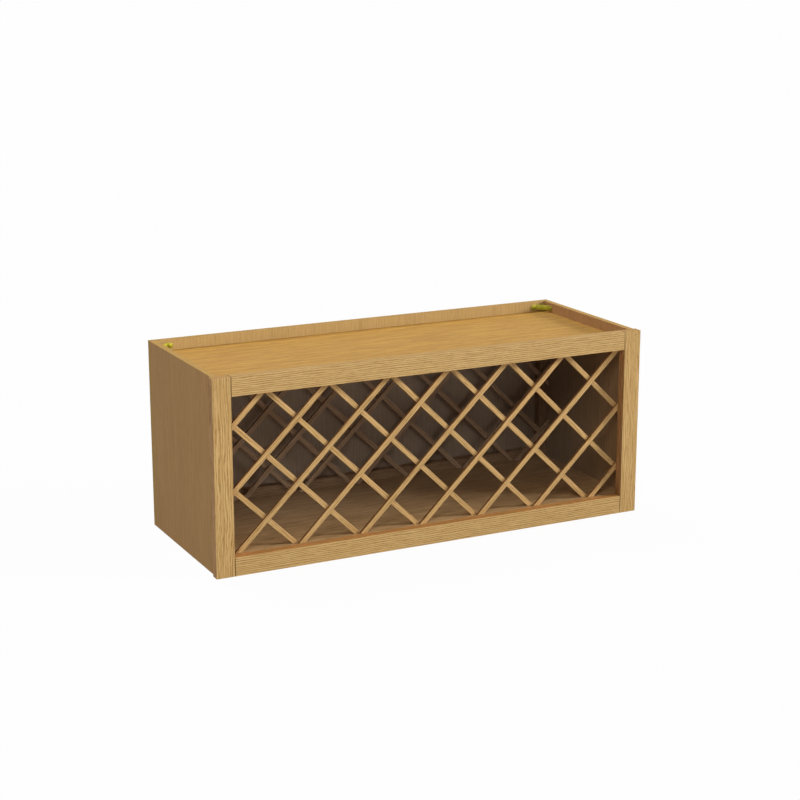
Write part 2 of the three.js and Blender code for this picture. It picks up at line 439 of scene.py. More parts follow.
def lay_tints(tree, tints):
    """White, multiplied by each tint where that tint's mask is 1."""
    product = WHITE
    for mask, settings, tint in tints:
        share = add_node(tree, "ShaderNodeMix", {"data_type": "VECTOR"}, {
            0: mask(tree, *settings), 4: WHITE, 5: tint,
        })
        product = add_node(tree, "ShaderNodeVectorMath", "MULTIPLY", {0: product, 1: share.outputs[1]})
    return product


def lay_spots(tree, place, below, masks, layer):
    """The colour of a layer's spots over what is below, and where they are."""
    label, where, hex_value, length, width, start, full, amount = layer
    spots = add_node(tree, "ShaderNodeMapRange", {"interpolation_type": "SMOOTHSTEP"}, {
        "Value": long_noise(tree, place, length, width, label),
        "From Min": start,
        "From Max": full,
        "To Max": amount,
    })
    mask = add_node(tree, "ShaderNodeMath", "MULTIPLY", {0: spots, 1: masks[where]})
    covered = add_node(tree, "ShaderNodeMix", {"data_type": "RGBA"}, {
        0: mask, 6: below, 7: colour(hex_value),
    })
    return covered.outputs[2], mask


print("tints start from", WHITE)

# %% The oak material
LACQUER_SHINE = 0.1
LACQUER_ROUGHNESS = 0.6
PORE_DEPTH = 0.1 * MM
PORE_BUMP = 0.3


def oak(name, base, wave, rings, layers, tints=(), tone_spread=0.0):
    material = bpy.data.materials.new(name)
    tree = empty_tree(material)
    grain = wavy_grain(tree, *wave)
    lines = growth_lines(tree, grain, *rings)
    gaps = add_node(tree, "ShaderNodeMath", "SUBTRACT", {0: 1.0, 1: lines})
    masks = {"lines": lines, "gaps": gaps, "all over": 1.0}
    wood = colour(base)
    height = 0.0
    for layer in layers:
        wood, mask = lay_spots(tree, grain, wood, masks, layer)
        height = add_node(tree, "ShaderNodeMath", "SUBTRACT", {0: height, 1: mask})
    tone = add_node(tree, "ShaderNodeAttribute", {"attribute_name": "tone"})
    bright = add_node(tree, "ShaderNodeMath", "MULTIPLY_ADD", {
        0: tone.outputs["Fac"], 1: tone_spread, 2: 1.0,
    })
    toned = add_node(tree, "ShaderNodeVectorMath", "SCALE", {0: wood, "Scale": bright})
    tinted = add_node(tree, "ShaderNodeVectorMath", "MULTIPLY", {0: toned, 1: lay_tints(tree, tints)})
    bump = add_node(tree, "ShaderNodeBump", None, {
        "Strength": PORE_BUMP,
        "Distance": PORE_DEPTH,
        "Height": height,
    })
    surface = add_node(tree, "ShaderNodeBsdfPrincipled", None, {
        "Base Color": tinted,
        "Roughness": LACQUER_ROUGHNESS,
        "Specular IOR Level": LACQUER_SHINE,
        "Normal": bump,
    })
    add_node(tree, "ShaderNodeOutputMaterial", None, {"Surface": surface})
    return material


print("lacquer roughness:", LACQUER_ROUGHNESS)

# %% [markdown]
# ## Oak finishes
# The frame is solid oak. Its stiles show wandering, loosely spaced lines, and its rails were cut so
# that their lines run nearly straight. Real pores are a third of a millimetre wide. They are drawn
# about three times as wide here, and fewer, because finer ones would vanish between the pixels and
# leave the wood looking blank.

# %% Finishes of the frame
# The joint's dark line is painted shade, for the shade in the groove between the eased edges.
JOINT = (joint_shade_line, (), (0.48, 0.45, 0.43))
FRAME_TONE_SPREAD = 0.02

# Planed oak under satin lacquer: golden, with long dark dashes and pale streaks that wander.
STILE_OAK = oak(
    "oak_planed_satin_lacquer", "#c69e63",
    wave=(170, 26, 6),
    rings=(4.0, 10),
    layers=(
        ("slow change of tone", "all over", "#b8935c", 260, 16, 0.35, 0.65, 0.2),
        ("pale streaks", "gaps", "#dcbb80", 50, 2.2, 0.35, 0.6, 0.58),
        ("growth streaks", "lines", "#9a743e", 34, 2.2, 0.3, 0.6, 0.42),
        ("open pores", "lines", "#7a5830", 9, 1.0, 0.48, 0.62, 0.5),
    ),
    tints=(
        # Painted shade: the faces along the opening and the side faces are darker and redder. The ends
        # are darker end grain, and the joint has its painted shade line.
        (round_opening, (), (0.93, 0.82, 0.75)),
        (faces, ("X", "GREATER_THAN"), (0.86, 0.76, 0.8)),
        (faces, ("Z", "GREATER_THAN"), (0.8, 0.72, 0.62)),
        JOINT,
    ),
    tone_spread=FRAME_TONE_SPREAD,
)
# Rift-sawn oak, planed and lacquered alike: close, nearly level dashes with pale wood between.
RAIL_OAK = oak(
    "oak_rift_sawn_satin_lacquer", "#c9a267",
    wave=(120, 20, 1.5),
    rings=(3.8, 4),
    layers=(
        ("slow change of tone", "all over", "#b8935c", 220, 14, 0.35, 0.65, 0.15),
        ("pale streaks", "gaps", "#dcbb80", 50, 1.8, 0.35, 0.6, 0.7),
        ("growth streaks", "lines", "#9a743e", 34, 1.8, 0.3, 0.6, 0.55),
        ("open pores", "lines", "#7a5830", 9, 0.9, 0.48, 0.62, 0.6),
    ),
    tints=(
        # Painted light and shade: the faces along the opening are redder, and the faces that look up or
        # down are darker and warmer, for how the light falls on them. The joint has its painted shade
        # line.
        (round_opening, (), (1.2, 0.96, 0.86)),
        (faces, ("Z", "GREATER_THAN"), (0.87, 0.83, 0.74)),
        JOINT,
    ),
    tone_spread=FRAME_TONE_SPREAD,
)
print("frame:", STILE_OAK.name, RAIL_OAK.name)

# %% [markdown]
# The case is oak veneer on plywood. Veneer is peeled or sliced off the log almost along its rings,
# so its lines lie far apart and are broad and soft, and its pores are long.

# %% Finishes of the case
VENEER_RINGS = (7.0, 17.5)
VENEER_PORES = ("open pores", "lines", "#7d5a34", 16, 0.9, 0.5, 0.66)
LYING_WAVE = (110, 26, 5)
STANDING_WAVE = (150, 26, 4)

# The top panel's veneer: the warmest gold, with broad lying waves.
PANEL_OAK = oak(
    "oak_veneer_golden_lacquer", "#c5994c", LYING_WAVE, VENEER_RINGS,
    layers=(
        ("slow change of tone", "all over", "#b08240", 130, 12, 0.35, 0.65, 0.6),
        ("growth streaks", "lines", "#a0733a", 110, 5, 0.25, 0.6, 0.55),
        (*VENEER_PORES, 0.5),
    ),
)
# The sides' veneer: quiet, brownish, with faint standing streaks. Inside the case it carries painted
# shade, and on its inner faces above the top panel a painted light.
SIDE_OAK = oak(
    "oak_side_veneer_satin_lacquer", "#b98e58", STANDING_WAVE, VENEER_RINGS,
    layers=(
        ("slow change of tone", "all over", "#ac854f", 200, 26, 0.35, 0.65, 0.4),
        ("growth streaks", "lines", "#9a7240", 150, 6, 0.25, 0.6, 0.35),
        (*VENEER_PORES, 0.35),
    ),
    tints=(
        # Painted shade inside the case, then painted light on the inner faces above the top panel.
        (painted_shade_depth, (0.45,), (0.53, 0.69, 1.28)),
        (inside_box, (RECESS_LOW, RECESS_HIGH), (1.34, 1.42, 1.9)),
        (faces, ("X", "LESS_THAN"), (1.02, 1.08, 0.8)),
    ),
)
# The back's veneer: pale and even in the light of the recess, and painted grey-brown behind the
# bottles, a painted shade.
BACK_OAK = oak(
    "oak_back_veneer_satin_lacquer", "#ccab71", STANDING_WAVE, VENEER_RINGS,
    layers=(
        ("slow change of tone", "all over", "#bfa068", 260, 26, 0.35, 0.65, 0.3),
        ("growth streaks", "lines", "#a5844c", 150, 6, 0.25, 0.6, 0.18),
        (*VENEER_PORES, 0.25),
    ),
    tints=(
        (painted_shade_depth, (0.35,), (0.55, 0.62, 1.12)),
        (faces, ("Y", "LESS_THAN"), (0.75, 0.65, 0.42)),
    ),
)
# The bottom panel's veneer: like the top panel's, but paler, and greyer towards the back by painted
# shade.
FLOOR_OAK = oak(
    "oak_floor_veneer_satin_lacquer", "#cca573", LYING_WAVE, VENEER_RINGS,
    layers=(
        ("slow change of tone", "all over", "#b59166", 130, 12, 0.35, 0.65, 0.5),
        ("growth streaks", "lines", "#a27c4e", 110, 5, 0.25, 0.6, 0.6),
        (*VENEER_PORES, 0.5),
    ),
    tints=(
        (painted_shade_depth, (0.0,), (0.62, 0.65, 0.78)),
    ),
)
print("case:", [wood.name for wood in (PANEL_OAK, SIDE_OAK, BACK_OAK, FLOOR_OAK)])

# %% [markdown]
# Slats and cleats are ripped from one kind of straight-grained strip, so they share one pattern.
# Each strip comes from another board, so their tones differ more than those of the frame.

# %% Finishes of the slats and cleats
SLAT_WAVE = (90, 12, 1.2)
SLAT_RINGS = (4.2, 10.5)
SLAT_LAYERS = (
    ("slow change of tone", "all over", "#b9945c", 120, 8, 0.35, 0.65, 0.35),
    ("growth streaks", "lines", "#99733c", 40, 2.2, 0.3, 0.6, 0.6),
    ("open pores", "lines", "#74532c", 12, 0.9, 0.48, 0.62, 0.5),
)
SLAT_TONE_SPREAD = 0.05

# The front slats: bright planed faces with short dark dashes, and sawn edges painted dark red, a
# painted shade.
SLAT_OAK = oak("oak_slat_planed_lacquer", "#d3ac73", SLAT_WAVE, SLAT_RINGS, SLAT_LAYERS, (
    (faces, ("Y", "LESS_THAN"), (0.6, 0.45, 0.4)),
), SLAT_TONE_SPREAD)
# The rear slats: the same strips, greyed deep in the case and darker on their sawn edges by painted
# shade.
REAR_SLAT_OAK = oak("oak_rear_slat_planed_lacquer", "#d3ac73", SLAT_WAVE, SLAT_RINGS, SLAT_LAYERS, (
    (painted_shade_depth, (0.0,), (0.65, 0.7, 1.1)),
    (faces, ("Y", "LESS_THAN"), (0.92, 0.9, 0.95)),
), SLAT_TONE_SPREAD)
# The cleats: the same strips, made the darkest wood by painted shade, deep in the case against the
# back.
CLEAT_OAK = oak("oak_cleat_planed_lacquer", "#cda56c", SLAT_WAVE, SLAT_RINGS, SLAT_LAYERS, (
    (painted_shade_depth, (0.0,), (0.47, 0.49, 0.7)),
), SLAT_TONE_SPREAD)
print("lattices:", [wood.name for wood in (SLAT_OAK, REAR_SLAT_OAK, CLEAT_OAK)])

# %% [markdown]
# ## Boards
# A board straight from CAD has edges as sharp as a knife, which never happens in a workshop: a
# joiner runs sandpaper along each arris. Each board here is a copy of its CAD solid, with its
# triangles merged into flat faces and its long outer arrises rounded by half a millimetre or so. A
# bevel modifier would round the small mortises and dados too, so the edges are picked by length and
# angle. Chance puts each board in another part of the oak pattern and gives it a tone of its own.

# %% Grain, tone and the calls that place a piece
AXES = {"X": 0, "Y": 1, "Z": 2}
PATTERN_START = 1.0
PATTERN_END = 9.0
chance = random.Random(7)


def set_grain(mesh, directions, offset, tone):
    """Stores each point's place along, across and through the board, for its solid pattern."""
    grain = mesh.attributes.new("grain", "FLOAT_VECTOR", "POINT")
    for point, value in zip(mesh.vertices, grain.data):
        value.vector = [point.co[AXES[axis]] + shift for axis, shift in zip(directions, offset)]
    shade = mesh.attributes.new("tone", "FLOAT", "POINT")
    for value in shade.data:
        value.value = tone


def finish_piece(mesh, nodes):
    """Makes a mesh a piece of its name, which rides on the cabinet and stands for CAD nodes."""
    piece = new_object(mesh.name, mesh)
    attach(piece, "root")
    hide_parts(*nodes)
    print(piece.name, len(mesh.polygons), "faces")


print("pattern shifts from", PATTERN_START, "to", PATTERN_END, "m")

# %% A function that finishes one board
MERGE_DISTANCE = 0.001 * MM
FLAT_ANGLE = math.radians(1)
LONG_EDGE = 12 * MM
SHARP_ANGLE = math.radians(60)
EDGE_SEGMENTS = 2
ROUND_PROFILE = 0.5


def merged_copy(node):
    """A copy of a CAD solid with its triangles merged into flat faces."""
    shape = bmesh.new()
    shape.from_mesh(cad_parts[node].data)
    bmesh.ops.remove_doubles(shape, verts=shape.verts, dist=MERGE_DISTANCE)
    bmesh.ops.dissolve_limit(shape, angle_limit=FLAT_ANGLE, verts=shape.verts, edges=shape.edges)
    return shape


def finish_board(node, directions, material, easing):
    """A finished copy of a CAD board whose grain runs along the first of its directions."""
    shape = merged_copy(node)
    arrises = [
        edge for edge in shape.edges
        if edge.is_convex
        and edge.calc_length() > LONG_EDGE
        and edge.calc_face_angle(0) > SHARP_ANGLE
    ]
    bmesh.ops.bevel(
        shape, geom=arrises, offset=easing, segments=EDGE_SEGMENTS, profile=ROUND_PROFILE,
        affect="EDGES",
    )
    mesh = bpy.data.meshes.new(f"{node}_finished")
    shape.to_mesh(mesh)
    shape.free()
    offset = [chance.uniform(PATTERN_START, PATTERN_END) for _ in directions]
    set_grain(mesh, directions, offset, chance.uniform(-1, 1))
    mesh.materials.clear()
    mesh.materials.append(material)
    finish_piece(mesh, [node])


print("arrises are longer than", LONG_EDGE / MM, "mm")

# %% [markdown]
# The frame's four boards are solid oak, planed on all sides, and joined by stub tenons that the
# finished copies keep. A stile stands and its grain stands with it; a rail's grain lies.

# %% The face frame
FRAME_EASING = 0.8 * MM
for node in ("stile_left", "stile_right"):
    finish_board(node, "ZXY", STILE_OAK, FRAME_EASING)
for node in ("rail_top", "rail_bottom"):
    finish_board(node, "XZY", RAIL_OAK, FRAME_EASING)

# %% [markdown]
# The case is oak-veneered plywood. On the sides and the back the veneer's grain stands, and on the
# top and bottom panels it runs from side to side. A veneered edge is only just broken, or the
# sandpaper would cut through it. The four cleats behind the rear lattice are plain strips.

# %% The plywood case and the cleats
CASE_EASING = 0.4 * MM
for node in ("side_left", "side_right"):
    finish_board(node, "ZYX", SIDE_OAK, CASE_EASING)
finish_board("back", "ZXY", BACK_OAK, CASE_EASING)
finish_board("panel_top", "XYZ", PANEL_OAK, CASE_EASING)
finish_board("panel_bottom", "XYZ", FLOOR_OAK, CASE_EASING)
for node in ("cleat_bottom", "cleat_top"):
    finish_board(node, "XZY", CLEAT_OAK, CASE_EASING)
for node in ("cleat_left", "cleat_right"):
    finish_board(node, "ZXY", CLEAT_OAK, CASE_EASING)

# %% [markdown]
# ## Geometry trees
# What repeats or follows a path is made by Geometry Nodes: the slats, the bent braces and the
# screws. Each tree has named inputs for its sizes and ends in plain, painted geometry. A modifier on
# a helper object runs it, with its inputs set by the sockets' identifiers. The result is turned into
# a plain mesh, so that nothing live is left on the piece.

# %% Functions that start, end and run a tree
CORNER_POINTS = 2


def new_tree(name, inputs):
    """A geometry tree with those named inputs, and the outputs of its first node."""
    tree = bpy.data.node_groups.new(name, "GeometryNodeTree")
    tree.interface.new_socket("Geometry", in_out="INPUT", socket_type="NodeSocketGeometry")
    tree.interface.new_socket("Geometry", in_out="OUTPUT", socket_type="NodeSocketGeometry")
    for kind, socket_names in inputs.items():
        for socket_name in socket_names:
            tree.interface.new_socket(socket_name, in_out="INPUT", socket_type=f"NodeSocket{kind}")
    return tree, add_node(tree, "NodeGroupInput").outputs


def eased_section(tree, given, width, height):
    """A rectangle with eased corners, to be swept along a path."""
    section = add_node(tree, "GeometryNodeCurvePrimitiveQuadrilateral", None, {
        "Width": width,
        "Height": height,
    })
    return add_node(tree, "GeometryNodeFilletCurve", {"mode": "POLY"}, {
        "Curve": section,
        "Count": CORNER_POINTS,
        "Radius": given["Easing"],
    })


def end_tree(tree, shape, material):
    solid = add_node(tree, "GeometryNodeRealizeInstances", None, {"Geometry": shape})
    painted = add_node(tree, "GeometryNodeSetMaterial", None, {"Geometry": solid, "Material": material})
    add_node(tree, "NodeGroupOutput", None, {"Geometry": painted})
    print(tree.name, len(tree.nodes), "nodes")


def run_tree(tree, name, values, source=None):
    """The plain mesh that a geometry tree makes with those inputs."""
    holder = new_object(f"{name}_holder", source or bpy.data.meshes.new(f"{name}_start"))
    modifier = holder.modifiers.new(tree.name, "NODES")
    modifier.node_group = tree
    for socket in tree.interface.items_tree:
        if socket.in_out == "INPUT" and socket.name in values:
            modifier[socket.identifier] = values[socket.name]
    ready = holder.evaluated_get(bpy.context.evaluated_depsgraph_get())
    mesh = bpy.data.meshes.new_from_object(ready)
    mesh.name = name
    holder.modifiers.remove(modifier)
    bpy.data.objects.remove(holder)
    return mesh


print("swept sections have", CORNER_POINTS, "points on each corner")

# %% [markdown]
# ## Lattices
# A lattice is two layers of straight slats, one leaning to the right and one to the left, each
# stepped evenly from side to side and sawn off where the case ends. Thirty-four copied CAD solids
# would do, but the rule is simpler: one point for each slat's foot, one long eased bar on each
# point, and one boolean with the case's inner space for the saw cuts.

# %% The bars and the space that cuts them
LAYER_INPUTS = {
    "Int": ("Slats", "Seed"),
    "Float": ("Pitch", "Lean", "Reach", "Slat Width", "Slat Thickness", "Easing"),
    "Vector": ("First Foot", "Low Corner", "High Corner"),
    "Material": ("Wood",),
}


def leaning_bars(tree, given, angle):
    """One bar through each foot, all leaning alike, and longer than the case is high."""
    step = add_node(tree, "ShaderNodeCombineXYZ", None, {"X": given["Pitch"]})
    feet = add_node(tree, "GeometryNodeMeshLine", {"mode": "OFFSET"}, {
        "Count": given["Slats"],
        "Start Location": given["First Foot"],
        "Offset": step,
    })
    reach = add_node(tree, "ShaderNodeCombineXYZ", None, {"Z": given["Reach"]})
    below = add_node(tree, "ShaderNodeVectorMath", "SCALE", {0: reach, "Scale": -1.0})
    line = add_node(tree, "GeometryNodeCurvePrimitiveLine", None, {"Start": below, "End": reach})
    bar = add_node(tree, "GeometryNodeCurveToMesh", None, {
        "Curve": line,
        "Profile Curve": eased_section(tree, given, given["Slat Width"], given["Slat Thickness"]),
        "Fill Caps": True,
    })
    turn = add_node(tree, "ShaderNodeCombineXYZ", None, {"Y": angle})
    bars = add_node(tree, "GeometryNodeInstanceOnPoints", None, {
        "Points": feet,
        "Instance": bar,
        "Rotation": turn,
    })
    return add_node(tree, "GeometryNodeRealizeInstances", None, {"Geometry": bars})


def inner_space(tree, given):
    """The block between the case's inner faces."""
    size = add_node(tree, "ShaderNodeVectorMath", "SUBTRACT", {
        0: given["High Corner"], 1: given["Low Corner"],
    })
    middle = add_node(tree, "ShaderNodeMix", {"data_type": "VECTOR"}, {
        0: 0.5, 4: given["Low Corner"], 5: given["High Corner"],
    })
    block = add_node(tree, "GeometryNodeMeshCube", None, {"Size": size})
    return add_node(tree, "GeometryNodeTransform", None, {
        "Geometry": block,
        "Translation": middle.outputs[1],
    })


print("layer inputs:", LAYER_INPUTS)

# %% [markdown]
# Each slat needs its own grain. A point's place says which slat it is on. That number picks the
# slat's part of the pattern and its tone, and the place turned upright gives the way along it.

# %% A tree that makes one layer of slats
def slat_number(tree, given, place):
    """The number of the slat that a point is on, from its place."""
    across = add_node(tree, "ShaderNodeVectorMath", "SUBTRACT", {0: place, 1: given["First Foot"]})
    parts = add_node(tree, "ShaderNodeSeparateXYZ", None, {0: across}).outputs
    leaned = add_node(tree, "ShaderNodeMath", "MULTIPLY", {0: parts["Z"], 1: given["Lean"]})
    upright = add_node(tree, "ShaderNodeMath", "SUBTRACT", {0: parts["X"], 1: leaned})
    steps = add_node(tree, "ShaderNodeMath", "DIVIDE", {0: upright, 1: given["Pitch"]})
    return add_node(tree, "ShaderNodeMath", "ROUND", {0: steps})


def slat_grain(tree, given, place, angle, number):
    """Each point's place along, across and through its slat, shifted by chance."""
    back_turn = add_node(tree, "ShaderNodeMath", "MULTIPLY", {0: angle, 1: -1.0})
    upright = add_node(tree, "ShaderNodeVectorRotate", {"rotation_type": "Y_AXIS"}, {
        "Vector": place,
        "Angle": back_turn,
    })
    parts = add_node(tree, "ShaderNodeSeparateXYZ", None, {0: upright}).outputs
    along_first = add_node(tree, "ShaderNodeCombineXYZ", None, {
        "X": parts["Z"],
        "Y": parts["X"],
        "Z": parts["Y"],
    })
    offset = add_node(tree, "FunctionNodeRandomValue", {"data_type": "FLOAT_VECTOR"}, {
        0: (PATTERN_START, PATTERN_START, PATTERN_START),
        1: (PATTERN_END, PATTERN_END, PATTERN_END),
        "ID": number,
        "Seed": given["Seed"],
    })
    return add_node(tree, "ShaderNodeVectorMath", "ADD", {0: along_first, 1: offset})


def layer_tree():
    tree, given = new_tree("lattice_layer", LAYER_INPUTS)
    angle = add_node(tree, "ShaderNodeMath", "ARCTANGENT", {0: given["Lean"]})
    bars = leaning_bars(tree, given, angle)
    space = inner_space(tree, given)
    slats = add_node(tree, "GeometryNodeMeshBoolean", {"operation": "INTERSECT", "solver": "EXACT"}, {
        "Mesh 2": [bars, space],
    })
    place = add_node(tree, "GeometryNodeInputPosition")
    number = slat_number(tree, given, place)
    with_grain = add_node(tree, "GeometryNodeStoreNamedAttribute", {"data_type": "FLOAT_VECTOR"}, {
        "Geometry": slats,
        "Name": "grain",
        "Value": slat_grain(tree, given, place, angle, number),
    })
    tone = add_node(tree, "FunctionNodeRandomValue", {"data_type": "FLOAT"}, {
        2: -1.0, 3: 1.0, "ID": number, "Seed": given["Seed"],
    })
    with_tone = add_node(tree, "GeometryNodeStoreNamedAttribute", {"data_type": "FLOAT"}, {
        "Geometry": with_grain,
        "Name": "tone",
        "Value": tone.outputs[1],
    })
    end_tree(tree, with_tone, given["Wood"])
    return tree


LAYER_TREE = layer_tree()

# %% [markdown]
# The slats' sizes come from the CAD part, so the lattice fits the case by itself. A slat near the
# middle runs from the floor to the ceiling: the long edges of its solid give the lean, and the
# distance to the next slat gives the pitch. Thin slats are only just eased by the sandpaper.

# %% The four layers
SLAT_WIDTH = 10 * MM
SLAT_EASING = 0.5 * MM
BAR_REACH = 1.0
SAW_MARGIN = 1 * MM


def slat_lean(node):
    """How far to the right a slat's long edges go for each metre up."""
    shape = merged_copy(node)
    edges = [second.co - first.co for first, second in (edge.verts for edge in shape.edges)]
    shape.free()
    longest = max(edges, key=lambda edge: edge.length)
    return longest.x / longest.z


def finish_layer(lattice, lean_name, count, seed, wood):
    nodes = [f"{lattice}_slat_{lean_name}_{i + 1}" for i in range(count)]
    middle = count // 2
    low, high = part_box(nodes[middle])
    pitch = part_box(nodes[middle + 1])[0].x - low.x
    lean = slat_lean(nodes[middle])
    side_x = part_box("side_right")[0].x
    first_x = (low.x + high.x) / 2 - middle * pitch - lean * (high.z - low.z) / 2
    mesh = run_tree(LAYER_TREE, f"{lattice}_{lean_name}_slats", {
        "Slats": count,
        "First Foot": (first_x, (low.y + high.y) / 2, low.z),
        "Pitch": pitch,
        "Lean": lean,
        "Reach": BAR_REACH,
        "Slat Width": SLAT_WIDTH,
        "Slat Thickness": high.y - low.y,
        "Easing": SLAT_EASING,
        "Low Corner": (-side_x, low.y - SAW_MARGIN, low.z),
        "High Corner": (side_x, high.y + SAW_MARGIN, high.z),
        "Seed": seed,
        "Wood": wood,
    })
    mesh.shade_flat()
    print(mesh.name, "lean", round(lean, 4), "pitch", round(pitch, 5))
    finish_piece(mesh, nodes)


finish_layer("front", "rising", count=9, seed=1, wood=SLAT_OAK)
finish_layer("front", "falling", count=8, seed=2, wood=SLAT_OAK)
finish_layer("rear", "rising", count=9, seed=3, wood=REAR_SLAT_OAK)
finish_layer("rear", "falling", count=8, seed=4, wood=REAR_SLAT_OAK)

# %% [markdown]
# ## Yellow zinc
# The corner braces are cheap pressed steel, plated with zinc and dipped in chromate. The dip leaves
# a thin film that turns the silver zinc yellow, with drifts of green and rose where it is thicker.
# Plain yellow paint would look dead beside it. This is a metal, so its colour is the colour of its
# reflection, and barrel plating makes it satin instead of bright. The film's drifts are layers of
# spots, of the same form as the oak's.

# %% The plated metal
ZINC_COLOUR = "#b1a73d"
ZINC_ROUGHNESS = 0.62
FILM_DRIFTS = (
    ("green drift", "all over", "#8f9c2e", 9, 9, 0.42, 0.62, 0.6),
    ("rose drift", "all over", "#a98f44", 6, 6, 0.52, 0.7, 0.4),
)


def yellow_zinc():
    """Barrel-plated, yellow-passivated steel: a satin yellow metal that drifts to green and rose."""
    material = bpy.data.materials.new("zinc_plated_steel_yellow_chromate")
    tree = empty_tree(material)
    place = add_node(tree, "ShaderNodeTexCoord").outputs["Object"]
    metal = colour(ZINC_COLOUR)
    for drift in FILM_DRIFTS:
        metal, _ = lay_spots(tree, place, metal, {"all over": 1.0}, drift)
    surface = add_node(tree, "ShaderNodeBsdfPrincipled", None, {
        "Base Color": metal,
        "Metallic": 1.0,
        "Roughness": ZINC_ROUGHNESS,
    })
    add_node(tree, "ShaderNodeOutputMaterial", None, {"Surface": surface})
    return material


YELLOW_ZINC = yellow_zinc()
print("metal:", YELLOW_ZINC.name)

# %% [markdown]
# ## Corner braces
# Each brace is a strip bent twice, so that it runs along the side, across the corner and along the
# back. It could be cut out of a block, but a strip that follows a path is simply a sweep: the path's
# four corner points come from the CAD brace, its bends are filleted as a bending tool leaves them,
# and a flat section is swept along it. Near both ends the strip's height shrinks along a circle,
# which rounds the flanges. It starts at a third of the height, so that no end is a needle.

# %% The strip's rounded ends
END_OF_CIRCLE = 0.95


def height_share(tree, given):
    """How high the strip is, as a share of its full height, at each point of the path."""
    along = add_node(tree, "GeometryNodeSplineParameter").outputs["Length"]
    whole = add_node(tree, "GeometryNodeSplineLength").outputs["Length"]
    left = add_node(tree, "ShaderNodeMath", "SUBTRACT", {0: whole, 1: along})
    near = add_node(tree, "ShaderNodeMath", "MINIMUM", {0: along, 1: left})
    radius = add_node(tree, "ShaderNodeMath", "MULTIPLY", {0: given["Height"], 1: 0.5})
    share = add_node(tree, "ShaderNodeMapRange", None, {
        "Value": near,
        "From Min": 0.0,
        "From Max": radius,
        "To Min": END_OF_CIRCLE,
        "To Max": 0.0,
    })
    square = add_node(tree, "ShaderNodeMath", "MULTIPLY", {0: share, 1: share})
    rest = add_node(tree, "ShaderNodeMath", "SUBTRACT", {0: 1.0, 1: square})
    return add_node(tree, "ShaderNodeMath", "SQRT", {0: rest})


print("height left at the ends:", round(math.sqrt(1 - END_OF_CIRCLE ** 2), 2))

# %% A tree that bends a strip
STRIP_INPUTS = {
    "Float": ("Thickness", "Height", "Middle", "Bend Radius", "Easing", "Step"),
    "Material": ("Metal",),
}
BEND_POINTS = 4


def strip_tree():
    tree, given = new_tree("bent_strip", STRIP_INPUTS)
    path = add_node(tree, "GeometryNodeMeshToCurve", None, {"Mesh": given["Geometry"]})
    bent = add_node(tree, "GeometryNodeFilletCurve", {"mode": "POLY"}, {
        "Curve": path,
        "Count": BEND_POINTS,
        "Radius": given["Bend Radius"],
    })
    stepped = add_node(tree, "GeometryNodeResampleCurve", {"mode": "LENGTH"}, {
        "Curve": bent,
        "Length": given["Step"],
    })
    kept = add_node(tree, "GeometryNodeStoreNamedAttribute", {"data_type": "FLOAT"}, {
        "Geometry": stepped,
        "Name": "height_share",
        "Value": height_share(tree, given),
    })
    strip = add_node(tree, "GeometryNodeCurveToMesh", None, {
        "Curve": kept,
        "Profile Curve": eased_section(tree, given, given["Thickness"], given["Height"]),
        "Fill Caps": True,
    })
    place = add_node(tree, "GeometryNodeInputPosition")
    parts = add_node(tree, "ShaderNodeSeparateXYZ", None, {0: place}).outputs
    share = add_node(tree, "GeometryNodeInputNamedAttribute", None, {"Name": "height_share"})
    height = add_node(tree, "ShaderNodeMath", "MULTIPLY_ADD", {
        0: parts["Z"], 1: share, 2: given["Middle"],
    })
    rounded = add_node(tree, "ShaderNodeCombineXYZ", None, {
        "X": parts["X"],
        "Y": parts["Y"],
        "Z": height,
    })
    shaped = add_node(tree, "GeometryNodeSetPosition", None, {"Geometry": strip, "Position": rounded})
    end_tree(tree, shaped, given["Metal"])
    return tree


STRIP_TREE = strip_tree()

# %% The two braces
STRIP_THICKNESS = 1.6 * MM
STRIP_EASING = 0.3 * MM
FLANGE_LENGTH = 13 * MM
BEND_RADIUS = 3 * MM
PATH_STEP = 0.5 * MM
SMOOTH_ANGLE = math.radians(35)


def finish_brace(node, side):
    """Bends one brace. Its path runs through the strip's middle, from the back to the side."""
    low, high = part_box(node)
    half = STRIP_THICKNESS / 2
    wall_x = side * (max(abs(low.x), abs(high.x)) - half)
    wall_y = high.y - half
    far = high.x - low.x - half
    bend = far - FLANGE_LENGTH
    points = [(far, 0), (bend, 0), (0, bend), (0, far)]
    corners = [(wall_x - side * from_side, wall_y - from_back, 0) for from_back, from_side in points]
    path = bpy.data.meshes.new(f"{node}_path")
    path.from_pydata(corners, [(0, 1), (1, 2), (2, 3)], [])
    mesh = run_tree(STRIP_TREE, f"{node}_bent", {
        "Thickness": STRIP_THICKNESS,
        "Height": high.z - low.z,
        "Middle": (low.z + high.z) / 2,
        "Bend Radius": BEND_RADIUS,
        "Easing": STRIP_EASING,
        "Step": PATH_STEP,
        "Metal": YELLOW_ZINC,
    }, path)
    mesh.shade_smooth()
    mesh.set_sharp_from_angle(angle=SMOOTH_ANGLE)
    finish_piece(mesh, [node])


finish_brace("brace_left", -1)
finish_brace("brace_right", 1)

# %% [markdown]
# ## Screws
# Four small pan-head screws hold the braces. They are alike, so one tree makes the screw from plain
# shapes (a flattened ball for the head, a cylinder, a cone, and two crossed bars that are cut away
# for the driver) and puts a copy on each of four points. Turning four models by hand would do, but
# each point can carry the direction that its screw faces. A seeded turn leaves the crosses at odd
# angles, as on hand-driven screws. Lengths are in mm until the copies are made, because booleans are
# surer at that size.

# %% A screw's head
HEAD_DOME = 1.15
HEAD_SIDES = 32


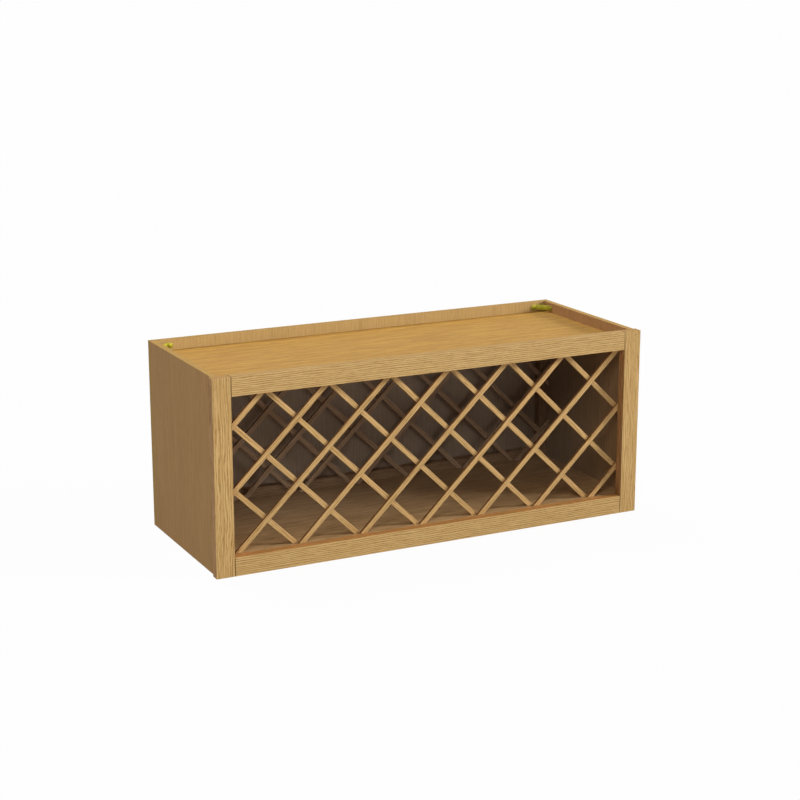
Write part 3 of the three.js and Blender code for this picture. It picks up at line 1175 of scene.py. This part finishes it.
def domed_head(tree, given):
    """A ball, flattened and a little wider than the head, trimmed to the head's rim."""
    radii = add_node(tree, "ShaderNodeCombineXYZ", None, {
        "X": given["Head Radius"],
        "Y": given["Head Radius"],
        "Z": given["Head Height"],
    })
    wide = add_node(tree, "ShaderNodeVectorMath", "MULTIPLY", {
        0: radii, 1: (HEAD_DOME, HEAD_DOME, 1.0),
    })
    ball = add_node(tree, "GeometryNodeMeshUVSphere", None, {
        "Segments": HEAD_SIDES,
        "Rings": HEAD_SIDES // 2,
        "Radius": 1.0,
    })
    flat_ball = add_node(tree, "GeometryNodeTransform", None, {"Geometry": ball, "Scale": wide})
    rim = add_node(tree, "GeometryNodeMeshCone", None, {
        "Vertices": HEAD_SIDES,
        "Radius Top": given["Head Radius"],
        "Radius Bottom": given["Head Radius"],
        "Depth": given["Head Height"],
    })
    return add_node(tree, "GeometryNodeMeshBoolean", {"operation": "INTERSECT", "solver": "EXACT"}, {
        "Mesh 2": [flat_ball, rim],
    })


print("screw head:", HEAD_SIDES, "sides")

# %% A screw's shank and the driver's cross
SHANK_SIDES = 16
SLOT_REACH = 0.58


def shank(tree, given):
    """A cylinder and a cone beyond it, both turned to point away from the head."""
    body, point = [
        add_node(tree, "GeometryNodeMeshCone", None, {
            "Vertices": SHANK_SIDES,
            "Radius Top": top,
            "Radius Bottom": given["Shank Radius"],
            "Depth": given[depth],
        })
        for top, depth in ((given["Shank Radius"], "Shank Length"), (0.0, "Point Length"))
    ]
    beyond = add_node(tree, "ShaderNodeCombineXYZ", None, {"Z": given["Shank Length"]})
    ahead = add_node(tree, "GeometryNodeTransform", None, {"Geometry": point, "Translation": beyond})
    joined = add_node(tree, "GeometryNodeMeshBoolean", {"operation": "UNION", "solver": "EXACT"}, {
        "Mesh 2": [body, ahead],
    })
    return add_node(tree, "GeometryNodeTransform", None, {
        "Geometry": joined,
        "Rotation": Euler((math.pi, 0, 0)),
    })


def driver_cross(tree, given):
    """Two crossed bars that reach from half-way up the head to above it."""
    reach = add_node(tree, "ShaderNodeMath", "MULTIPLY", {0: given["Head Radius"], 1: 2 * SLOT_REACH})
    lift = add_node(tree, "ShaderNodeCombineXYZ", None, {"Z": given["Head Height"]})
    bars = []
    for x, y in ((reach, given["Slot Width"]), (given["Slot Width"], reach)):
        size = add_node(tree, "ShaderNodeCombineXYZ", None, {"X": x, "Y": y, "Z": given["Head Height"]})
        bar = add_node(tree, "GeometryNodeMeshCube", None, {"Size": size})
        lifted = add_node(tree, "GeometryNodeTransform", None, {"Geometry": bar, "Translation": lift})
        bars.append(lifted)
    return bars


print("screw shank:", SHANK_SIDES, "sides")

# %% A tree that makes the screws
SCREW_INPUTS = {
    "Float": (
        "Head Radius", "Head Height", "Shank Radius", "Shank Length", "Point Length", "Slot Width",
    ),
    "Int": ("Seed",),
    "Material": ("Metal",),
}


def screw_tree():
    tree, given = new_tree("brace_screws", SCREW_INPUTS)
    whole = add_node(tree, "GeometryNodeMeshBoolean", {"operation": "UNION", "solver": "EXACT"}, {
        "Mesh 2": [domed_head(tree, given), shank(tree, given)],
    })
    screw = add_node(tree, "GeometryNodeMeshBoolean", {"operation": "DIFFERENCE", "solver": "EXACT"}, {
        "Mesh 1": whole,
        "Mesh 2": driver_cross(tree, given),
    })
    facing = add_node(tree, "GeometryNodeInputNamedAttribute", {"data_type": "FLOAT_VECTOR"}, {
        "Name": "facing",
    })
    aimed = add_node(tree, "FunctionNodeAlignRotationToVector", {"axis": "Z"}, {"Vector": facing})
    screws = add_node(tree, "GeometryNodeInstanceOnPoints", None, {
        "Points": given["Geometry"],
        "Instance": screw,
        "Rotation": aimed,
        "Scale": (MM, MM, MM),
    })
    quarter_turn = add_node(tree, "FunctionNodeRandomValue", {"data_type": "FLOAT_VECTOR"}, {
        0: (0.0, 0.0, 0.0), 1: (0.0, 0.0, math.pi / 2), "Seed": given["Seed"],
    })
    turned = add_node(tree, "GeometryNodeRotateInstances", None, {
        "Instances": screws,
        "Rotation": quarter_turn,
    })
    end_tree(tree, turned, given["Metal"])
    return tree


SCREW_TREE = screw_tree()

# %% The four screws
HEAD_HEIGHT = 1.6
SCREW_SIZES = {
    "Head Radius": 3.0,
    "Head Height": HEAD_HEIGHT,
    "Shank Radius": 1.5,
    "Shank Length": 7.0,
    "Point Length": 3.0,
    "Slot Width": 0.8,
}
SCREW_SEED = 3


def screw_facing(node):
    """The way that a screw's head faces: away from the back, or from the side it is driven into."""
    if node.endswith("back"):
        return Vector((0, -1, 0))
    return Vector((1, 0, 0)) if "left" in node else Vector((-1, 0, 0))


def finish_screws():
    nodes = [f"brace_screw_{side}_{into}" for side in ("left", "right") for into in ("side", "back")]
    facings = [screw_facing(node) for node in nodes]
    places = []
    for node, facing in zip(nodes, facings):
        low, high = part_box(node)
        to_head = abs(facing.dot(high - low)) / 2 - HEAD_HEIGHT * MM
        places.append((low + high) / 2 + facing * to_head)
    points = bpy.data.meshes.new("screw_points")
    points.from_pydata(places, [], [])
    attribute = points.attributes.new("facing", "FLOAT_VECTOR", "POINT")
    for value, facing in zip(attribute.data, facings):
        value.vector = facing
    values = {**SCREW_SIZES, "Seed": SCREW_SEED, "Metal": YELLOW_ZINC}
    mesh = run_tree(SCREW_TREE, "brace_screws", values, points)
    mesh.shade_smooth()
    mesh.set_sharp_from_angle(angle=SMOOTH_ANGLE)
    finish_piece(mesh, nodes)


finish_screws()
